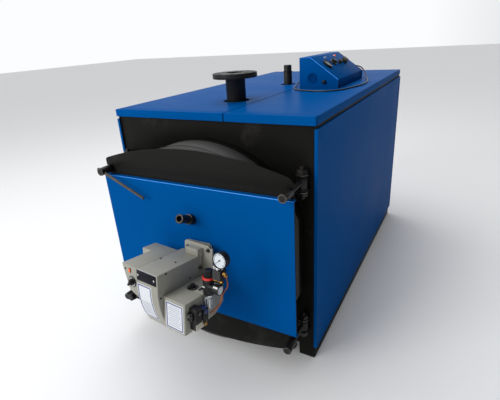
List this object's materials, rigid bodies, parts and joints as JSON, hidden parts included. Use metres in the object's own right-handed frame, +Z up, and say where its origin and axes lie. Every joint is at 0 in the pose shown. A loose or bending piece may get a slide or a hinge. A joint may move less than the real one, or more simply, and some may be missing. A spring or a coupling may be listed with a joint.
{
  "type": "hot-water boiler",
  "caption": "Floor-standing hot-water boiler with an arched swing door, a burner on the door and a control box on the lid.",
  "frame": {"origin": "on the floor under the middle of the casing, at the underside of the middle cross member", "axes": "+X to the right as seen from the door, +Y from the door to the back, +Z up"},
  "size_m": [0.962, 2.2448, 1.2314],
  "materials": {
    "casing_blue": "semi-gloss powder coat",
    "black_paint": "satin black paint, scuffed",
    "door_grey": "dark grey paint, dusty",
    "boiler_steel": "dark mill-scale steel",
    "lining": "pale matte refractory",
    "bolt_steel": "zinc and bare steel, dulled",
    "bar_steel": "rusty bare steel",
    "sight_steel": "blackened steel",
    "burner_grey": "satin warm grey paint",
    "black_plastic": "satin black plastic",
    "bowl_clear": "clear polycarbonate bowl"
  },
  "bodies": {
    "boiler": {"base_cross_members": "black_paint", "base_rail_left": "black_paint", "base_rail_right": "black_paint", "boiler_drum": "boiler_steel", "drum_crown": "boiler_steel", "front_tube_plate": "boiler_steel", "rear_tube_plate": "boiler_steel", "furnace_tube": "boiler_steel", "smoke_tubes": "boiler_steel", "smoke_box": "boiler_steel", "smoke_box_cover": "boiler_steel", "flue_outlet": "boiler_steel", "front_plate": "black_paint", "door_collar": "door_grey", "casing_frame": "black_paint", "side_panel_left": "casing_blue", "side_panel_right": "casing_blue", "rear_panel": "casing_blue", "lid_left": "casing_blue", "lid_right": "casing_blue", "supply_pipe": "black_paint", "safety_nozzle": "black_paint", "return_pipe": "black_paint", "drain_nipple": "black_paint", "control_box": "casing_blue", "control_instruments": "black_plastic", "control_cable": "black_plastic", "hinge_brackets": "black_paint", "hinge_bolts": "bolt_steel", "eye_bolts_left": "bolt_steel"},
    "front_door": {"eye_bolts_right": "bolt_steel", "door_shell": "door_grey", "door_lining": "lining", "door_plate": "black_paint", "door_cover": "casing_blue", "sight_tube": "sight_steel", "burner_flange": "burner_grey", "burner_rear_plate": "burner_grey", "burner_housing": "burner_grey", "burner_control_section": "burner_grey", "burner_air_adjuster": "black_plastic", "burner_lower_box": "burner_grey", "air_regulator": "black_plastic", "regulator_bowl": "bowl_clear", "valve_block": "black_plastic", "pressure_gauges": "black_plastic", "solenoid_valves": "black_plastic"},
    "closing_nut_upper_left": {"closing_nut_upper_left": "bolt_steel", "tommy_bar": "bar_steel"},
    "closing_nut_lower_left": {"closing_nut_lower_left": "bolt_steel"},
    "closing_nut_upper_right": {"closing_nut_upper_right": "bolt_steel"},
    "closing_nut_lower_right": {"closing_nut_lower_right": "bolt_steel"},
    "burner_knob": {"burner_knob": "black_plastic"},
    "burner_dial": {"burner_dial": "black_plastic"}
  },
  "joints": [
    {"name": "front_door_swing", "type": "hinge", "parent": "boiler", "child": "front_door", "pos_m": [0.428, -0.858, 0.523], "axis": [0, 0, 1], "range_deg": [0, 90]},
    {"name": "closing_nut_upper_left_turn", "type": "hinge", "parent": "front_door", "child": "closing_nut_upper_left", "pos_m": [-0.428, -1, 0.8465], "axis": [0, 1, 0], "continuous": true},
    {"name": "closing_nut_lower_left_turn", "type": "hinge", "parent": "front_door", "child": "closing_nut_lower_left", "pos_m": [-0.428, -1, 0.1995], "axis": [0, 1, 0], "continuous": true},
    {"name": "closing_nut_upper_right_turn", "type": "hinge", "parent": "front_door", "child": "closing_nut_upper_right", "pos_m": [0.428, -1, 0.8465], "axis": [0, 1, 0], "continuous": true},
    {"name": "closing_nut_lower_right_turn", "type": "hinge", "parent": "front_door", "child": "closing_nut_lower_right", "pos_m": [0.428, -1, 0.1995], "axis": [0, 1, 0], "continuous": true},
    {"name": "burner_knob_turn", "type": "hinge", "parent": "front_door", "child": "burner_knob", "pos_m": [-0.08616, -1.26747, 0.5296], "axis": [0.1035, 0.9848, -0.1392], "range_deg": [0, 270]},
    {"name": "burner_dial_turn", "type": "hinge", "parent": "front_door", "child": "burner_dial", "pos_m": [0.10336, -1.1576, 0.48521], "axis": [0.0145, 0.1384, 0.9903], "range_deg": [0, 270]}
  ]
}
